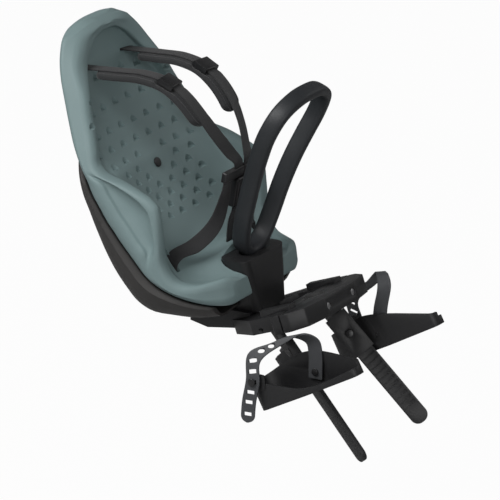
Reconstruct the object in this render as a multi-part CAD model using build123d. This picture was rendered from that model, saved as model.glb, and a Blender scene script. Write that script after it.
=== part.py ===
from build123d import *
import os
from math import cos, pi, radians, sin

os.makedirs("parts", exist_ok=True)

# Sizes in mm. Row frame: +X the bike's left, -Y forward, +Z up, origin in the stem clamp.

# Steerer and clamp
HEAD_ANGLE = 70.0
STEERER_R = 14.3
SHIM_WALL = 2.5
SHIM_SPLIT = 3.0
BRACKET_HALF_LENGTH = 100.0
BRACKET_FRONT = 42.0
BRACKET_REAR = 16.0
BRACKET_HEIGHT = 26.0
BRACKET_SPLIT = 2.0
BRACKET_HUMP = 24.0
BRACKET_WALL = 8.0
CLAMP_BOLT_X = 34.0
CLAMP_BOLT_R = 3.0
CLAMP_HEAD_R = 5.0
CLAMP_HEAD_L = 6.0
CLAMP_NUT_L = 5.0

# General fits
GAP = 0.3
SEAT_GAP = 0.5

# Seat pad and shell, drawn on fan planes that turn about the lap line
LAP_Y = 110.0
LAP_Z = 190.0
SEAT_HALF_WIDTH = 153.0
RIM_WIDTH = 24.0
PAD_BACK = 18.0
LEG_DIP = 6.0
POMMEL_FROM = -60.0
SHELL_WALL = 3.5
SHELL_FROM = 27.0
SHELL_WIDE_BELOW = -20.0
SHELL_NARROW_ABOVE = 14.0
SHELL_WIDE = 0.93
SHELL_NARROW = 0.6
SHELL_TO = -95.0

# angle, inset of the side from the full half width, then distances from the lap line:
# rim front, rim rear, panel on the midplane, and the depth of the shell behind the pad
STATIONS = [
    (37.1, 138, 294, 306, 293, 0),
    (36.5, 119, 286, 309, 285, 0),
    (35.2, 100, 278, 310, 278, 0),
    (33.2, 80, 268, 306, 289, 0),
    (30.0, 57, 246, 290, 275, 0),
    (26.0, 35, 216, 271, 262, 1.5),
    (20.0, 26, 196, 242, 231, 1.5),
    (14.0, 19, 177, 219, 201, 3),
    (8.0, 10, 161, 202, 180, 7),
    (2.0, 3, 143, 190, 165, 13),
    (-5.0, 0, 108, 181, 153, 20),
    (-20.0, 0, 83, 171, 143, 31),
    (-38.0, 0, 86, 164, 138, 41),
    (-54.0, 0, 113, 163, 141, 47),
    (-66.0, 1, 140, 166, 138, 40),
    (-76.0, 6, 148, 169, 121, 30),
    (-86.0, 18, 147, 174, 120, 22),
    (-93.0, 36, 143, 178, 134, 14),
    (-98.0, 52, 142, 179, 142, 0),
    (-101.0, 68, 151, 174, 151, 0),
]

# Dimples in the pad
DIMPLE_R = 5.4
DIMPLE_TILT = -32.0
DIMPLE_PITCH = 34.0
DIMPLE_ROWS = 11
DIMPLE_TOP = 22.5
DIMPLE_STEP = 6.4
BUTTON_ANGLE = -9.3
BUTTON_HEAD_R = 7.0
BUTTON_HEAD_L = 3.0
BUTTON_SHANK_R = 3.0

# Harness webbing
WEB_WIDTH = 22.0
WEB_T = 1.8
SLOT_CLEAR = 1.2
SLOT_REACH = 45.0
HIP_SLOT_T = 9.0
SHOULDER_X = 56.0
SHOULDER_Z = 307.0
HIP_X = 107.0
HIP_Y = 170.0
CROTCH_Y = 137.0
ANCHOR_T = 9.0
ANCHOR_BAR = 8.0
ANCHOR_SIDE = 4.0
SHOULDER_PAD_WIDTH = 38.0
SHOULDER_PAD_T = 8.0
ADJUSTER_LENGTH = 24.0
ADJUSTER_WALL = 3.5

# Buckle
BUCKLE_Y = 124.0
BUCKLE_Z = 148.0
BUCKLE_TILT = 9.5
HOUSING_W = 40.0
HOUSING_D = 17.0
HOUSING_H = 44.0
TONGUE_X = 13.5
TONGUE_WING_X = 37.5
TONGUE_W = 25.0
TONGUE_D = 9.0
TONGUE_H = 15.0
BLADE_X = 10.0
BLADE_W = 12.0
BLADE_T = 2.4
BLADE_L = 20.0
PUSH_R = 9.0
PUSH_L = 6.0
PUSH_PROUD = 2.0
PUSH_TRAVEL = 2.5

# Grip handle and its base
HANDLE_Y = 107.0
HANDLE_Z = 61.0
HANDLE_LEAN = 20.7
HANDLE_RX = 11.0
HANDLE_RY = 12.5
HANDLE_OUTLINE = [(0, 5), (27, 17), (40, 50), (47, 95), (55, 140), (64, 178), (69, 208), (58, 238), (28, 254), (0, 257)]
BASE_TOP_HALF = 57.0
BASE_FOOT_HALF = 40.0
BASE_FRONT = 68.0
BASE_REAR = 112.0
BASE_SHIFT = 13.0
BASE_TOP_Z = 62.0
BASE_FOOT_Z = -14.0
BASE_SCREW_X = 10.0
BASE_SCREW_R = 2.5

# Carriage under the seat
CARRIAGE_HALF = 46.0
CARRIAGE_FRONT_Y = 66.0
CARRIAGE_REAR_Y = 176.0
CARRIAGE_BOTTOM = -46.0
CARRIAGE_TOP = 4.0
ARM_OUTER_X = 83.0
ARM_REAR = 112.0
PRONG_X = 66.0
PRONG_W = 14.0
PRONG_T = 8.0
PRONG_DEPTH = 18.0
BOLT_R = 3.0
BOLT_HEAD_R = 5.5
BOLT_HEAD_L = 4.0
BAIL_R = 1.6
BAIL_HALF = 12.0
BAIL_DROP = 17.0
BAIL_Z = -38.0
BAIL_OUT = 9.0

# Leg rails
RAIL_TOP = (67.0, 30.0, -18.0)
RAIL_END = (87.7, -125.0, -179.0)
RAIL_FACE_TURN = 32.0
RAIL_W = 26.0
RAIL_T = 6.0
RAIL_TOOTH = 9.0
RAIL_GROOVE_W = 4.5
RAIL_GROOVE_D = 1.4
RAIL_GROOVES = 15
RAIL_PLAIN_END = 32.0
RAIL_PIN_R = 3.0

# Foot cups
SOLE_HEEL = (113.0, 4.0, -114.0)
SOLE_RISE = 27.6
CUP_HALF = 28.0
CUP_LENGTH = 162.0
CUP_WALL = 3.0
CUP_SOLE = 4.5
CUP_HEEL_H = 38.0
CUP_INNER_H = 50.0
CUP_TOE_H = 12.0
SLEEVE_FROM = 30.0
SLEEVE_LENGTH = 66.0
SLEEVE_WALL = 3.2
LATCH_R = 5.5
LATCH_L = 9.0
STRAP_W = 21.0
STRAP_T = 2.6
STRAP_HOLE_R = 3.2
STRAP_HOLES = 7
STRAP_PITCH = 15.5
STUD_R = 2.8
STUD_HEAD_R = 5.5


def save(name, *solids):
    shape = solids[0] if len(solids) == 1 else Compound(children=list(solids))
    export_step(shape, "parts/" + name + ".step")


def flip(shape):
    return mirror(shape, about=Plane.YZ)


def save_pair(name, left):
    save(name + "_left", left)
    save(name + "_right", flip(left))


def block(plane, x, y, z):
    """A box between limits given in a plane's own axes."""
    size = (x[1] - x[0], y[1] - y[0], z[1] - z[0])
    centre = ((x[0] + x[1]) / 2, (y[0] + y[1]) / 2, (z[0] + z[1]) / 2)
    return plane * Pos(*centre) * Box(*size)


def rod(start, end, radius):
    """A round bar between two points."""
    a, b = Vector(*start), Vector(*end)
    along = b - a
    return Plane(origin=a, z_dir=along) * Pos(0, 0, along.length / 2) * Cylinder(radius, along.length)


def ribbon(centres, widths, thickness):
    """A strap: a ruled face between two edge curves, thickened to both sides."""
    one = [Vector(*c) + Vector(*w) / 2 for c, w in zip(centres, widths)]
    two = [Vector(*c) - Vector(*w) / 2 for c, w in zip(centres, widths)]
    face = Face.make_surface_from_curves(Edge.make_spline(one), Edge.make_spline(two))
    return thicken(face, amount=thickness / 2, both=True)


def across(length, *directions):
    """Width vectors of one length from a list of directions."""
    return [Vector(*d).normalized() * length for d in directions]


# Seat pad: moulded foam bucket lofted through the fan stations
def fan_plane(angle):
    c, s = cos(radians(angle)), sin(radians(angle))
    return Plane(origin=(0, LAP_Y, LAP_Z), x_dir=(1, 0, 0), z_dir=(0, -s, c))


def section(angle, half):
    """A closed outline of two mirrored splines that meet on the midplane."""
    plane = fan_plane(angle)
    right = [plane.from_local_coords((x, r, 0)) for x, r in half]
    left = [plane.from_local_coords((-x, r, 0)) for x, r in reversed(half)]
    ends = [Vector(1, 0, 0), Vector(-1, 0, 0)]
    return Wire([Edge.make_spline(right, tangents=ends), Edge.make_spline(left, tangents=[-ends[0], -ends[1]])])


def underside(station):
    """Points of the pad's back face, from the rim to the midplane."""
    angle, inset, lip, rear, inner, depth = station
    w = SEAT_HALF_WIDTH - inset
    t = min(RIM_WIDTH, 0.5 * w)
    floor = max(inner, lip + LEG_DIP) if angle < POMMEL_FROM else inner
    back = max(floor + PAD_BACK, rear + 3)
    edge_r = rear + 0.1 * t
    drop = back - edge_r
    return [(w - 0.4 * t, edge_r), (0.8 * w, back - 0.42 * drop), (0.62 * w, back - 0.12 * drop), (0.4 * w, back), (0, back)]


def pad_half(station):
    angle, inset, lip, rear, inner, depth = station
    w = SEAT_HALF_WIDTH - inset
    t = min(RIM_WIDTH, 0.5 * w)
    back = underside(station)
    if abs(inner - lip) < 2:
        middle, half = (lip + back[-1][1]) / 2, (back[-1][1] - lip) / 2
        turns = [pi * i / 12 for i in range(13)]
        return [(w * sin(a) ** 0.8 if 0 < a < 3.1 else 0, middle - half * cos(a)) for a in turns]
    wi = w - t
    floor = max(inner, lip + LEG_DIP) if angle < POMMEL_FROM else inner
    rise = floor - lip
    front = [(0, inner), (0.5 * wi, 0.5 * (inner + floor) - 0.05 * rise)]
    front += [(0.84 * wi, floor - 0.25 * rise), (wi, floor - 0.66 * rise)]
    rim = [(w - 0.78 * t, lip + 0.12 * t), (w - 0.45 * t, lip), (w - 0.12 * t, lip + 0.22 * t)]
    rim += [(w, 0.5 * (lip + rear)), (w - 0.06 * t, rear - 0.2 * t)]
    return front + rim + back


def behind(station, share):
    """Distance of the pad's back face from the lap line at a share of the half width."""
    points = underside(station)
    w = SEAT_HALF_WIDTH - station[1]
    for (x1, r1), (x2, r2) in zip(points, points[1:]):
        if x2 <= share * w <= x1:
            return r2 + (r1 - r2) * (share * w - x2) / (x1 - x2)
    return points[0][1]


def shell_half(station, grow=0.0):
    """A thin wall behind the pad that ends in a lip under the pad's rim, further in at the head."""
    angle, depth = station[0], station[5] + SEAT_GAP
    w = SEAT_HALF_WIDTH - station[1]
    turn = (angle - SHELL_WIDE_BELOW) / (SHELL_NARROW_ABOVE - SHELL_WIDE_BELOW)
    share = SHELL_WIDE + (SHELL_NARROW - SHELL_WIDE) * min(1, max(0, turn))
    wall = SHELL_WALL + grow
    rim_r = behind(station, share) + SEAT_GAP + 1.2
    side_r = behind(station, 0.84 * share) + 0.8 * depth + 1.2
    flat_r = behind(station, 0.5 * share) + depth
    back_r = behind(station, 0) + depth
    inside = [(0, back_r), (0.5 * share * w, flat_r), (0.84 * share * w, side_r), (share * w, rim_r)]
    lip = [(share * w + wall, rim_r + 0.6 - grow)]
    outside = [(0.84 * share * w + 0.5 * wall, side_r + wall), (0.5 * share * w, flat_r + wall), (0, back_r + wall)]
    return inside + lip + outside


pad = Solid.make_loft([section(s[0], pad_half(s)) for s in STATIONS])
shell_stations = [s for s in STATIONS if SHELL_TO < s[0] < SHELL_FROM]
shell = Solid.make_loft([section(s[0], shell_half(s)) for s in shell_stations])
shell_clear = Solid.make_loft([section(s[0], shell_half(s, GAP)) for s in shell_stations])


def on_panel(angle, x):
    """Point and outward normal where a fan line first meets the pad."""
    c, s = cos(radians(angle)), sin(radians(angle))
    hits = pad.find_intersection_points(Axis((x, LAP_Y, LAP_Z), (0, c, s)))
    return min(hits, key=lambda hit: (hit[0] - Vector(x, LAP_Y, LAP_Z)).length)


# Half-moon dimples in staggered rows, each the end of a tilted cylinder
dimples = []
button_point, button_normal = on_panel(BUTTON_ANGLE, 0)
for row in range(DIMPLE_ROWS):
    for column in ([0, 1, 2] if row % 2 == 0 else [0.5, 1.5, 2.5]):
        point, normal = on_panel(DIMPLE_TOP - DIMPLE_STEP * row, column * DIMPLE_PITCH)
        if (point - button_point).length < 2 * BUTTON_HEAD_R:
            continue
        face = Plane(origin=point, x_dir=(1, 0, 0), z_dir=normal)
        bar = face * Rot(DIMPLE_TILT, 0, 0) * Pos(0, 0, 2 * DIMPLE_R) * Cylinder(DIMPLE_R, 4 * DIMPLE_R)
        dimples.append(bar)
        if column:
            dimples.append(flip(bar))

# Steerer plane: X across, Y rearward and down, Z up the steerer
lean = radians(90 - HEAD_ANGLE)
steer = Plane(origin=(0, 0, 0), x_dir=(1, 0, 0), z_dir=(0, sin(lean), cos(lean)))

# Handle base: a wedge that stands in a notch at the front of the seat
def base_body(grow):
    middle = (BASE_FRONT + BASE_REAR) / 2
    depth = BASE_REAR - BASE_FRONT + 2 * grow
    foot = Plane(origin=(0, middle, BASE_FOOT_Z - grow)) * RectangleRounded(2 * BASE_FOOT_HALF + 2 * grow, depth, 12)
    top = Plane(origin=(0, middle + BASE_SHIFT, BASE_TOP_Z + grow)) * RectangleRounded(2 * BASE_TOP_HALF + 2 * grow, depth, 14)
    return loft([foot, top])


tilt = radians(HANDLE_LEAN)
handle_plane = Plane(origin=(0, HANDLE_Y, HANDLE_Z), x_dir=(1, 0, 0), z_dir=(0, -cos(tilt), -sin(tilt)))


def handle_body(grow):
    half = [handle_plane.from_local_coords((x, v, 0)) for x, v in HANDLE_OUTLINE]
    other = [handle_plane.from_local_coords((-x, v, 0)) for x, v in reversed(HANDLE_OUTLINE[1:-1])]
    path = Edge.make_spline(half + other, periodic=True)
    start = Plane(origin=path @ 0, x_dir=handle_plane.z_dir, z_dir=path % 0)
    return sweep(start * Ellipse(HANDLE_RY + grow, HANDLE_RX + grow), path=Wire([path]))


handle = handle_body(0)
screw_top = handle_plane.from_local_coords((0, HANDLE_OUTLINE[0][1] + 4, 0))
screws, screw_holes = [], []
for side in (-1, 1):
    head_end = (side * BASE_SCREW_X, screw_top.Y - 4, BASE_FOOT_Z + 6)
    tip = (side * BASE_SCREW_X, screw_top.Y - 4, screw_top.Z - 4)
    screws.append(rod(head_end, tip, BASE_SCREW_R))
    screw_holes.append(rod((head_end[0], head_end[1], BASE_FOOT_Z - 1), (tip[0], tip[1], tip[2] + GAP), BASE_SCREW_R + GAP))
handle_base = base_body(0) - handle_body(GAP) - screw_holes
handle = handle - screw_holes
notch = base_body(SEAT_GAP)
save("grip_handle", handle)
save("handle_base", handle_base)
save("handle_screws", *screws)

# Strap slots through pad and shell
def heights(shape, x, y):
    return sorted(hit[0].Z for hit in shape.find_intersection_points(Axis((x, y, -300), (0, 0, 1))))


def lowest(x, y, half_x, half_y):
    """Lowest height of the pad's underside over a small rectangle."""
    spots = [(x + a * half_x, y + b * half_y) for a in (-1, 1) for b in (-1, 1)]
    return min(heights(pad, *spot)[0] for spot in spots + [(x, y)])


hip_floor, hip_top = heights(pad, HIP_X, HIP_Y)[:2]
crotch_floor = heights(pad, 0, CROTCH_Y)[0]
ANCHOR_HALF = WEB_WIDTH / 2 + ANCHOR_SIDE
hip_bar_top = lowest(HIP_X, HIP_Y, ANCHOR_T / 2, ANCHOR_HALF) - 2 * GAP
crotch_bar_top = lowest(0, CROTCH_Y, ANCHOR_HALF, ANCHOR_T / 2) - 2 * GAP
behind_back = max(hit[0].Y for hit in shell_clear.find_intersection_points(Axis((SHOULDER_X, 0, SHOULDER_Z + ANCHOR_BAR), (0, 1, 0))))
slot_w = WEB_WIDTH + 2 * SLOT_CLEAR
slot_t = WEB_T + 2 * SLOT_CLEAR
slots = []
for side in (-1, 1):
    slots.append(Pos(side * SHOULDER_X, LAP_Y + 230, SHOULDER_Z) * Box(slot_w, 120, slot_t))
    slots.append(Pos(side * HIP_X, HIP_Y, hip_floor + 5) * Box(HIP_SLOT_T, slot_w, 2 * SLOT_REACH))
slots.append(Pos(0, CROTCH_Y, crotch_floor + 15) * Box(slot_w, slot_t, 2 * SLOT_REACH))
button_plane = Plane(origin=button_point, x_dir=(1, 0, 0), z_dir=button_normal)
rivet = button_plane * Pos(0, 0, GAP + BUTTON_HEAD_L / 2) * Cylinder(BUTTON_HEAD_R, BUTTON_HEAD_L)
rivet = rivet + button_plane * Pos(0, 0, GAP + 0.5 - 2 * PAD_BACK / 2) * Cylinder(BUTTON_SHANK_R, 2 * PAD_BACK)
rivet_hole = button_plane * Pos(0, 0, -PAD_BACK) * Cylinder(BUTTON_SHANK_R + GAP, 6 * PAD_BACK)
save("pad_rivet", rivet)
pad = pad - dimples - slots - notch - rivet_hole - handle_body(GAP)

# Carriage: a fork in the steerer plane with a block that meets the shell, prongs and rail sockets
PRONG_TOP = BRACKET_HEIGHT / 2 + GAP + 6
ARM_HALF = 10.5
FORK_FRONT = BRACKET_REAR + 1
fork_half = [(0, ARM_REAR), (CARRIAGE_HALF, ARM_REAR), (ARM_OUTER_X, 60), (ARM_OUTER_X, FORK_FRONT)]
fork_half += [(52, FORK_FRONT), (52, 58), (32, 80), (0, 80)]
fork_points = fork_half + [(-x, q) for x, q in reversed(fork_half[1:-1])]
fork = extrude(steer * make_face(Polyline(*fork_points, close=True)), ARM_HALF, both=True)
fork = fillet([e for e in fork.edges() if abs((e % 0.5).dot(steer.z_dir)) > 0.99], 5)
seat_line = BASE_FOOT_Z - GAP
side_points = [(80, -36), (148, CARRIAGE_BOTTOM), (CARRIAGE_REAR_Y, CARRIAGE_BOTTOM + 6), (CARRIAGE_REAR_Y, CARRIAGE_TOP)]
side_points += [(BASE_REAR + 3, CARRIAGE_TOP), (BASE_REAR + 3, seat_line), (80, seat_line)]
core = extrude(Plane.YZ * make_face(Polyline(*side_points, close=True)), CARRIAGE_HALF, both=True)
core = core - shell_clear
core = core.solids().sort_by(Axis.Z)[0] if len(core.solids()) > 1 else core
carriage = fork + core
prongs, prong_slots = [], []
for side in (-1, 1):
    xs = sorted((side * (PRONG_X - PRONG_W / 2), side * (PRONG_X + PRONG_W / 2)))
    carriage += block(steer, xs, (-PRONG_T / 2, 46), (BRACKET_HEIGHT / 2 + GAP, PRONG_TOP))
    carriage += block(steer, xs, (FORK_FRONT, 46), (0, PRONG_TOP))
    carriage += block(steer, xs, (-PRONG_T / 2, PRONG_T / 2), (BRACKET_HEIGHT / 2 - PRONG_DEPTH, PRONG_TOP))
    wide = (xs[0] - GAP, xs[1] + GAP)
    prong_slots.append(block(steer, wide, (-PRONG_T / 2 - GAP, PRONG_T / 2 + GAP), (BRACKET_HEIGHT / 2 - PRONG_DEPTH - GAP, PRONG_TOP)))

# Leg rails: flat ratchet strips, turned so that the toothed face looks inward and forward
rail_start, rail_stop = Vector(*RAIL_TOP), Vector(*RAIL_END)
rail_dir = (rail_stop - rail_start).normalized()
rail_length = (rail_stop - rail_start).length
turn = radians(RAIL_FACE_TURN)
face_dir = Vector(-cos(turn), 0, 0) + Vector(-1, 0, 0).cross(rail_dir).normalized() * sin(turn)
face_dir = (face_dir - rail_dir * face_dir.dot(rail_dir)).normalized()
if face_dir.Z < 0:
    face_dir = Vector(-cos(turn), 0, 0) - Vector(-1, 0, 0).cross(rail_dir).normalized() * sin(turn)
    face_dir = (face_dir - rail_dir * face_dir.dot(rail_dir)).normalized()
rail_plane = Plane(origin=rail_start, x_dir=face_dir, z_dir=rail_dir)
RAIL_BURIED = 14.0


def rail_prism(grow, start, stop):
    half_t, half_w = RAIL_T / 2 + grow, RAIL_W / 2 + grow
    return block(rail_plane, (-half_t, half_t), (-half_w, half_w), (start, stop))


rail = rail_prism(0, -RAIL_BURIED, rail_length)
end_edges = [e for e in rail.edges() if abs((e % 0.5).dot(face_dir)) > 0.99 and (e @ 0.5 - rail_stop).length < RAIL_W]
rail = fillet(end_edges, 0.45 * RAIL_W)
for i in range(RAIL_GROOVES):
    at = rail_length - RAIL_PLAIN_END - RAIL_TOOTH * i
    low = RAIL_T / 2 - RAIL_GROOVE_D
    rail -= block(rail_plane, (low, RAIL_T), (3 - RAIL_W / 2, RAIL_W / 2 - 3), (at - RAIL_GROOVE_W / 2, at + RAIL_GROOVE_W / 2))
pin_at = -4.0
pin_reach = 13.0
pin_ends = [rail_plane.from_local_coords((x, 0, pin_at)) for x in (-pin_reach, pin_reach)]
pin = rod(pin_ends[0], pin_ends[1], RAIL_PIN_R)
pin_hole = rod(rail_plane.from_local_coords((-40, 0, pin_at)), rail_plane.from_local_coords((40, 0, pin_at)), RAIL_PIN_R + GAP)
rail -= pin_hole
save_pair("leg_rail", rail)
save("rail_pins", pin, flip(pin))
socket = rail_prism(GAP, -RAIL_BURIED - GAP, 40) + pin_hole
carriage = carriage - socket - flip(socket)

# Bail: a wire loop that hangs in two ears behind the carriage
bail_y = CARRIAGE_REAR_Y + BAIL_OUT - 3
for side in (-1, 1):
    ear = Pos(side * (BAIL_HALF - 4), CARRIAGE_REAR_Y + BAIL_OUT / 2 - 1, BAIL_Z) * Box(4, BAIL_OUT + 2, 10)
    carriage += ear - rod((-30, bail_y, BAIL_Z), (30, bail_y, BAIL_Z), BAIL_R + GAP)
bail_points = [(BAIL_HALF - 7, bail_y, BAIL_Z), (BAIL_HALF, bail_y, BAIL_Z), (BAIL_HALF, bail_y, BAIL_Z - BAIL_DROP)]
bail_points += [(-x, y, z) for x, y, z in reversed(bail_points)]
bail = rod(bail_points[0], bail_points[1], BAIL_R)
for a, b in zip(bail_points[1:], bail_points[2:]):
    bail += Pos(*a) * Sphere(BAIL_R)
    bail += rod(a, b, BAIL_R)
save("release_bail", bail)

# Carriage bolts, with heads inside the shell
bolts, bolt_holes = [], []
for x in (-30, 30):
    for y in (124, 158):
        top = min((h[0].Z for h in shell.find_intersection_points(Axis((x, y, -100), (0, 0, 1)))), default=-5) + SHELL_WALL + 2
        bolts.append(rod((x, y, top), (x, y, CARRIAGE_BOTTOM + 14), BOLT_R) + rod((x, y, top), (x, y, top + BOLT_HEAD_L), BOLT_HEAD_R))
        bolt_holes.append(rod((x, y, CARRIAGE_BOTTOM + 14 - GAP), (x, y, top + 1), BOLT_R + GAP))
save("carriage_bolts", *bolts)
carriage = carriage - bolt_holes
shell = shell - bolt_holes - [cut for cut in slots if cut.center().Z > LAP_Z] - notch
save("mount_carriage", carriage)
save("seat_shell", shell)
print("carriage", len(carriage.solids()), carriage.is_valid, "shell", len(shell.solids()), shell.is_valid)

# Stem bracket: two clamp halves round a split shim
clamp_r = STEERER_R + SHIM_WALL + GAP
front_half = [(0, -BRACKET_FRONT), (44, -BRACKET_FRONT), (84, -34), (BRACKET_HALF_LENGTH, -12), (BRACKET_HALF_LENGTH, -BRACKET_SPLIT / 2)]
front_points = front_half + [(-x, q) for x, q in reversed(front_half[1:])]
front = extrude(steer * make_face(Polyline(*front_points, close=True)), BRACKET_HEIGHT / 2, both=True)
rear = block(steer, (-BRACKET_HALF_LENGTH, BRACKET_HALF_LENGTH), (BRACKET_SPLIT / 2, BRACKET_REAR), (-BRACKET_HEIGHT / 2, BRACKET_HEIGHT / 2))
rear += block(steer, (-BRACKET_HUMP, BRACKET_HUMP), (BRACKET_SPLIT / 2, STEERER_R + SHIM_WALL + BRACKET_WALL), (-BRACKET_HEIGHT / 2, BRACKET_HEIGHT / 2))
upright = lambda part: [e for e in part.edges() if abs((e % 0.5).dot(steer.z_dir)) > 0.99]
front = fillet([e for e in upright(front) if (steer.to_local_coords(e @ 0.5)).Y < -5], 9)
rear = fillet([e for e in upright(rear) if (steer.to_local_coords(e @ 0.5)).Y > 5], 3)
hollow = steer * Cylinder(clamp_r, 3 * BRACKET_HEIGHT)
clamp_bolts, clamp_nuts, clamp_cuts = [], [], []
for side in (-1, 1):
    at = lambda q: steer.from_local_coords((side * CLAMP_BOLT_X, q, 0))
    head_at = -BRACKET_FRONT + CLAMP_HEAD_L + 1
    nut_at = BRACKET_REAR - CLAMP_NUT_L
    clamp_bolts.append(rod(at(head_at - CLAMP_HEAD_L), at(head_at), CLAMP_HEAD_R) + rod(at(head_at), at(BRACKET_REAR), CLAMP_BOLT_R))
    nut_plane = Plane(origin=at(nut_at + GAP), z_dir=steer.y_dir)
    clamp_nuts.append(extrude(nut_plane * RegularPolygon(CLAMP_HEAD_R, 6), CLAMP_NUT_L - 1) - rod(at(nut_at - 5), at(BRACKET_REAR + 5), CLAMP_BOLT_R + GAP))
    clamp_cuts.append(rod(at(-BRACKET_FRONT - 5), at(head_at + GAP), CLAMP_HEAD_R + GAP))
    clamp_cuts.append(rod(at(-BRACKET_FRONT - 5), at(BRACKET_REAR + 5), CLAMP_BOLT_R + GAP))
    clamp_cuts.append(rod(at(nut_at), at(BRACKET_REAR + 5), CLAMP_HEAD_R + GAP))
front = front - hollow - clamp_cuts - prong_slots
rear = rear - hollow - clamp_cuts - prong_slots
shim = steer * (Cylinder(STEERER_R + SHIM_WALL, BRACKET_HEIGHT) - Cylinder(STEERER_R, 2 * BRACKET_HEIGHT))
shim -= block(steer, (-SHIM_SPLIT / 2, SHIM_SPLIT / 2), (0, 3 * STEERER_R), (-BRACKET_HEIGHT, BRACKET_HEIGHT))
save("bracket_front", front)
save("bracket_rear", rear)
save("clamp_shim", shim)
save("clamp_bolts", *clamp_bolts)
save("clamp_nuts", *clamp_nuts)

# Foot cups: open shoes on a sloping sole, with a sleeve that rides on the rail
rise = radians(SOLE_RISE)
sole = Plane(origin=SOLE_HEEL, x_dir=(1, 0, 0), z_dir=(0, sin(rise), cos(rise)))
toe = 4 - CUP_LENGTH
plan = [(-CUP_HALF, 8), (CUP_HALF, 8), (CUP_HALF + 1, -78), (18, toe), (-6, toe), (-CUP_HALF, -84)]


def cup_outline(inset):
    face = make_face(Polyline(*plan, close=True))
    face = fillet([v for v in face.vertices() if v.Y > 0], 18)
    face = fillet([v for v in face.vertices() if -100 < v.Y < -60], 30)
    face = fillet([v for v in face.vertices() if v.Y < toe + 10], 11)
    return offset(face, -inset) if inset else face


tall = CUP_INNER_H + 8
cup = extrude(sole * cup_outline(0), tall)
cup -= extrude(sole * Pos(0, 0, CUP_SOLE) * cup_outline(CUP_WALL), tall)
top = 2 * tall
far = toe - 20
outer_rim = [(20, CUP_HEEL_H), (-22, CUP_HEEL_H - 4), (-60, 16), (-95, CUP_SOLE + 4), (-130, CUP_SOLE + 5), (far, CUP_TOE_H)]
inner_rim = [(20, CUP_HEEL_H), (-22, CUP_INNER_H - 3), (-55, CUP_INNER_H + 2), (-100, CUP_INNER_H - 8)]
inner_rim += [(-138, 26), (far, CUP_TOE_H)]
side_plane = Plane(origin=sole.from_local_coords((4, 0, 0)), x_dir=sole.y_dir, z_dir=sole.x_dir)
for rim, reach in ((outer_rim, 2 * CUP_HALF), (inner_rim, -3 * CUP_HALF)):
    lid = [Spline(*rim), Polyline(rim[-1], (far, top), (20, top), rim[0])]
    cup -= extrude(side_plane * make_face(lid), reach)
sleeve_t, sleeve_w = RAIL_T / 2 + GAP + SLEEVE_WALL, RAIL_W / 2 + GAP + SLEEVE_WALL
sleeve_to = SLEEVE_FROM + SLEEVE_LENGTH
sleeve = block(rail_plane, (-sleeve_t, sleeve_t), (-sleeve_w, sleeve_w), (SLEEVE_FROM, sleeve_to))
bridge = block(rail_plane, (-sleeve_t - 14, -sleeve_t + 1), (-sleeve_w + 4, sleeve_w - 4), (SLEEVE_FROM + 8, sleeve_to - 8))
cavity = extrude(sole * Pos(0, 0, CUP_SOLE) * cup_outline(CUP_WALL), 2 * tall)
stud_at = Vector(146.0, 17.0, -71.0)
lug = Pos(stud_at.X - 8, stud_at.Y - 6, stud_at.Z - 2) * Box(10, 20, 22)
lug = fillet(lug.edges().filter_by(Axis.X), 6)
cup = cup + (sleeve + bridge + lug - cavity)
cup -= rail_prism(GAP, -100, 400)
latch_at = SLEEVE_FROM + 0.5 * SLEEVE_LENGTH
latch_axis = [rail_plane.from_local_coords((x, 0, latch_at)) for x in (RAIL_T / 2 + GAP, RAIL_T / 2 + 2 * GAP + LATCH_L, sleeve_t + 30)]
latch = rod(latch_axis[0] + face_dir * GAP, latch_axis[1], LATCH_R)
cup -= rod(latch_axis[0] - face_dir, latch_axis[2], LATCH_R + GAP)
stud_in, stud_out = stud_at - Vector(8, 0, 0), stud_at + Vector(STRAP_T + 2, 0, 0)
stud = rod(stud_in, stud_out, STUD_R) + rod(stud_out, stud_out + Vector(2.5, 0, 0), STUD_HEAD_R)
cup -= rod(stud_in - Vector(GAP, 0, 0), stud_out, STUD_R + GAP)
save_pair("foot_latch", latch)
save_pair("strap_stud", stud)
print("cup", len(cup.solids()), cup.is_valid)

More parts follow.
